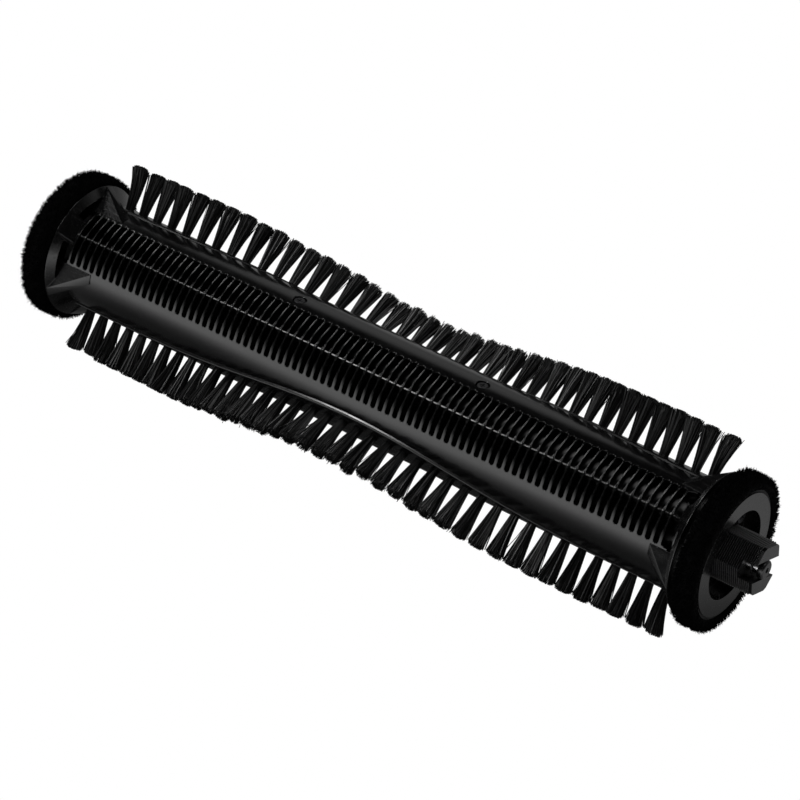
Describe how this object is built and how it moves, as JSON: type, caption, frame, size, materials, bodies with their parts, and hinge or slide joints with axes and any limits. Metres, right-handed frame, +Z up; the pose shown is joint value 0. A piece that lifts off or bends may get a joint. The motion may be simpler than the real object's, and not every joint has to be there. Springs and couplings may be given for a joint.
{
  "type": "scrubber brush roll",
  "caption": "Cylindrical floor-scrubbing brush roll: slotted core, two bowed rows of bristle tufts, plush-edged end discs, hexagonal drive plug and a free-turning idle end cap.",
  "frame": {"origin": "on the roll's axis, halfway between its two ends", "axes": "+X along the axis towards the drive end, +Z up; the comb ridge of the front shell faces -Y and up"},
  "size_m": [0.2448, 0.0564, 0.0468],
  "materials": {
    "core_plastic": "glossy black moulded plastic with fine wear lines",
    "tube_aluminium": "drawn tube, faint lengthwise lines",
    "black_screw": "black oxide",
    "strip_plastic": "smooth glossy black",
    "nylon_bristle": "black nylon filaments with a slight sheen",
    "plug_plastic": "dark grey glass-filled nylon",
    "disc_plastic": "satin black moulded plastic",
    "woven_backing": "woven black backing tape",
    "plush_pile": "dense short black pile",
    "zinc_screw": "black zinc plated",
    "steel_pin": "ground steel with fine turning marks",
    "black_rubber": "soft matte rubber",
    "cap_plastic": "satin black acetal",
    "grey_felt": "pressed wool felt",
    "bearing_steel": "polished bearing steel",
    "spring_steel": "phosphated spring steel"
  },
  "bodies": {
    "roll": {"core_shell_front": "core_plastic", "core_shell_rear": "core_plastic", "core_tube": "tube_aluminium", "shell_screws": "black_screw", "bristle_strip_a": "strip_plastic", "bristle_strip_b": "strip_plastic", "tufts_a": "nylon_bristle", "tufts_b": "nylon_bristle", "end_plug_drive": "plug_plastic", "end_plug_idle": "plug_plastic", "flange_drive": "disc_plastic", "flange_idle": "disc_plastic", "pile_backing_drive": "woven_backing", "pile_backing_idle": "woven_backing", "pile_ring_drive": "plush_pile", "pile_ring_idle": "plush_pile", "flange_screws_drive": "zinc_screw", "flange_screws_idle": "zinc_screw", "drive_plug": "disc_plastic", "drive_pin": "steel_pin", "pin_ring": "black_rubber", "pin_cap": "cap_plastic", "idle_axle": "steel_pin", "felt_seal": "grey_felt", "bearing_inner_race": "bearing_steel", "axle_clip": "spring_steel"},
    "idle_end": {"bearing_balls": "bearing_steel", "bearing_outer_race": "bearing_steel", "bearing_shield": "bearing_steel", "idle_cap": "cap_plastic"}
  },
  "joints": [
    {"name": "idle_cap_spin", "type": "hinge", "parent": "roll", "child": "idle_end", "pos_m": [-0.1165, 0, 0], "axis": [1, 0, 0], "continuous": true}
  ]
}
